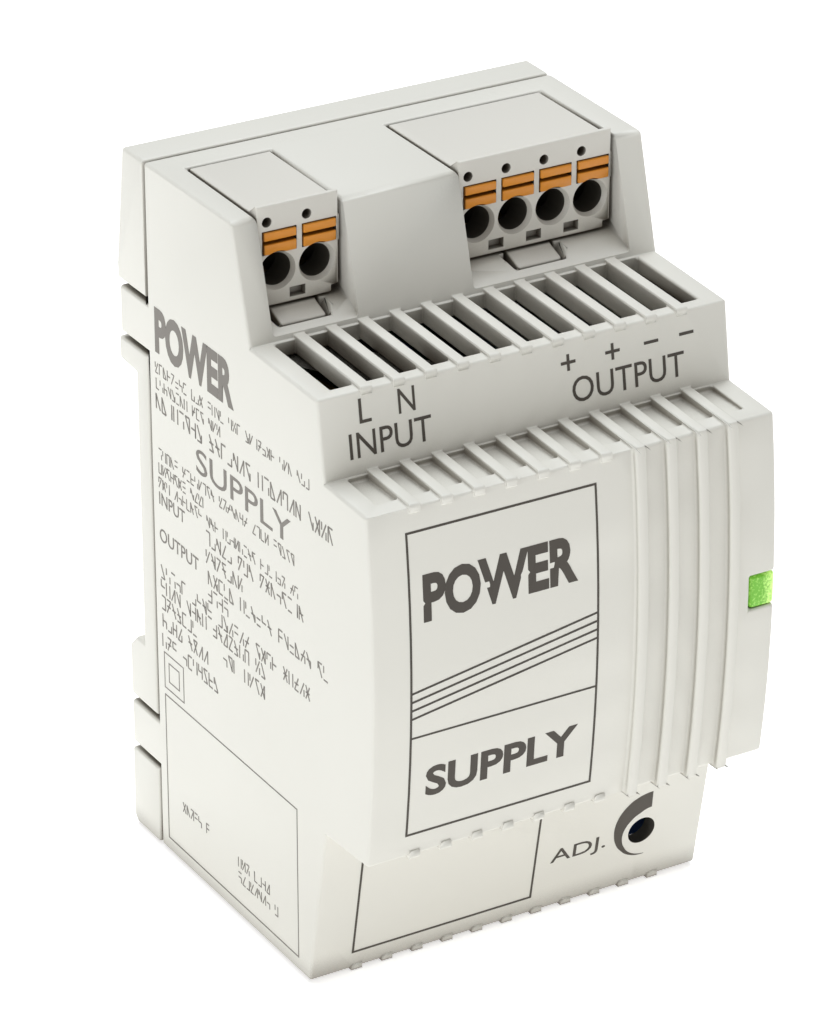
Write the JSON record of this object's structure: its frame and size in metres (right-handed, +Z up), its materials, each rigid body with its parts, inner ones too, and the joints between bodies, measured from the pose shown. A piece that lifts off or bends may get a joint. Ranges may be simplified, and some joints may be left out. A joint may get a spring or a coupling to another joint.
{
  "type": "din rail power supply",
  "caption": "Stepped rail-mount power supply in a vented plastic case, with pull-out spring terminal plugs, a status window and a sprung rail foot.",
  "frame": {"origin": "centre of the seat that bears on the front of the mounting rail, half way across the width and at the middle of the rail recess", "axes": "+Z up when mounted, +Y towards the rail and the cabinet wall, +X to the right seen from the front"},
  "size_m": [0.054, 0.0586, 0.0904],
  "materials": {
    "housing_plastic": "fine satin, light grey",
    "terminal_plastic": "satin, warm grey",
    "button_plastic": "satin, orange",
    "light_pipe_plastic": "clear green, polished",
    "spring_steel": "bright",
    "contact_brass": "tinned brass",
    "board_laminate": "green solder resist",
    "black_moulding": "black epoxy moulding",
    "blue_coating": "dipped blue coating",
    "white_moulding": "white moulding",
    "film_case": "yellow moulded case",
    "can_sleeve": "shrunk sleeve over a can",
    "ferrite": "sintered ferrite",
    "enamelled_copper": "enamelled copper wire",
    "winding_tape": "yellow polyester tape",
    "heatsink_aluminium": "plain aluminium",
    "insulation_film": "insulating film"
  },
  "bodies": {
    "housing": {"front_housing": "housing_plastic", "rear_base": "housing_plastic", "light_pipe": "light_pipe_plastic", "indicator_led": "light_pipe_plastic", "rail_foot_spring": "spring_steel", "board_screws": "spring_steel", "input_pins": "contact_brass", "output_pins": "contact_brass", "main_board": "board_laminate", "control_board": "board_laminate", "input_header": "black_moulding", "output_header": "black_moulding", "bridge_rectifier": "black_moulding", "switch_transistor": "black_moulding", "output_diode": "black_moulding", "control_chip": "black_moulding", "fuse": "black_moulding", "transformer_bobbin": "black_moulding", "inrush_thermistor": "black_moulding", "varistor": "blue_coating", "y_capacitor": "blue_coating", "trimmer_body": "blue_coating", "optocoupler": "white_moulding", "x_capacitor": "film_case", "bulk_capacitor": "can_sleeve", "output_capacitors": "can_sleeve", "line_choke_core": "ferrite", "transformer_core": "ferrite", "output_choke": "ferrite", "line_choke_windings": "enamelled_copper", "transformer_windings": "winding_tape", "primary_heatsink": "heatsink_aluminium", "secondary_heatsink": "heatsink_aluminium", "insulation_sheet": "insulation_film"},
    "input_plug": {"input_plug": "terminal_plastic", "input_contacts": "contact_brass", "input_clamp_springs": "spring_steel"},
    "output_plug": {"output_plug": "terminal_plastic", "output_contacts": "contact_brass", "output_clamp_springs": "spring_steel"},
    "input_button_1": {"input_button_1": "button_plastic"},
    "input_button_2": {"input_button_2": "button_plastic"},
    "output_button_1": {"output_button_1": "button_plastic"},
    "output_button_2": {"output_button_2": "button_plastic"},
    "output_button_3": {"output_button_3": "button_plastic"},
    "output_button_4": {"output_button_4": "button_plastic"},
    "input_latch": {"input_latch": "terminal_plastic"},
    "output_latch": {"output_latch": "terminal_plastic"},
    "trimmer_rotor": {"trimmer_rotor": "white_moulding"},
    "rail_foot": {"rail_foot": "terminal_plastic"}
  },
  "joints": [
    {"name": "input_plug_slide", "type": "slide", "parent": "housing", "child": "input_plug", "axis": [0, -1, 0], "range_m": [0, 0.016]},
    {"name": "output_plug_slide", "type": "slide", "parent": "housing", "child": "output_plug", "axis": [0, -1, 0], "range_m": [0, 0.016]},
    {"name": "input_button_1_press", "type": "slide", "parent": "input_plug", "child": "input_button_1", "axis": [0, 1, 0], "range_m": [0, 0.0016], "stiffness_N_per_m": 400, "springref_m": -0.001},
    {"name": "input_button_2_press", "type": "slide", "parent": "input_plug", "child": "input_button_2", "axis": [0, 1, 0], "range_m": [0, 0.0016], "stiffness_N_per_m": 400, "springref_m": -0.001},
    {"name": "output_button_1_press", "type": "slide", "parent": "output_plug", "child": "output_button_1", "axis": [0, 1, 0], "range_m": [0, 0.0016], "stiffness_N_per_m": 400, "springref_m": -0.001},
    {"name": "output_button_2_press", "type": "slide", "parent": "output_plug", "child": "output_button_2", "axis": [0, 1, 0], "range_m": [0, 0.0016], "stiffness_N_per_m": 400, "springref_m": -0.001},
    {"name": "output_button_3_press", "type": "slide", "parent": "output_plug", "child": "output_button_3", "axis": [0, 1, 0], "range_m": [0, 0.0016], "stiffness_N_per_m": 400, "springref_m": -0.001},
    {"name": "output_button_4_press", "type": "slide", "parent": "output_plug", "child": "output_button_4", "axis": [0, 1, 0], "range_m": [0, 0.0016], "stiffness_N_per_m": 400, "springref_m": -0.001},
    {"name": "input_latch_press", "type": "hinge", "parent": "housing", "child": "input_latch", "pos_m": [-0.0189, -0.00905, 0.0328], "axis": [1, 0, 0], "range_deg": [0, 4], "stiffness_Nm_per_rad": 0.02, "springref_deg": -5.73},
    {"name": "output_latch_press", "type": "hinge", "parent": "housing", "child": "output_latch", "pos_m": [0.0118, -0.00905, 0.0328], "axis": [1, 0, 0], "range_deg": [0, 4], "stiffness_Nm_per_rad": 0.02, "springref_deg": -5.73},
    {"name": "trimmer_turn", "type": "hinge", "parent": "housing", "child": "trimmer_rotor", "pos_m": [0.0178, -0.0357, -0.0362], "axis": [0, -1, 0], "range_deg": [-135, 135]},
    {"name": "rail_foot_slide", "type": "slide", "parent": "housing", "child": "rail_foot", "axis": [0, 0, -1], "range_m": [0, 0.003], "stiffness_N_per_m": 1000, "springref_m": -0.003, "deforming": ["rail_foot_spring"]}
  ]
}
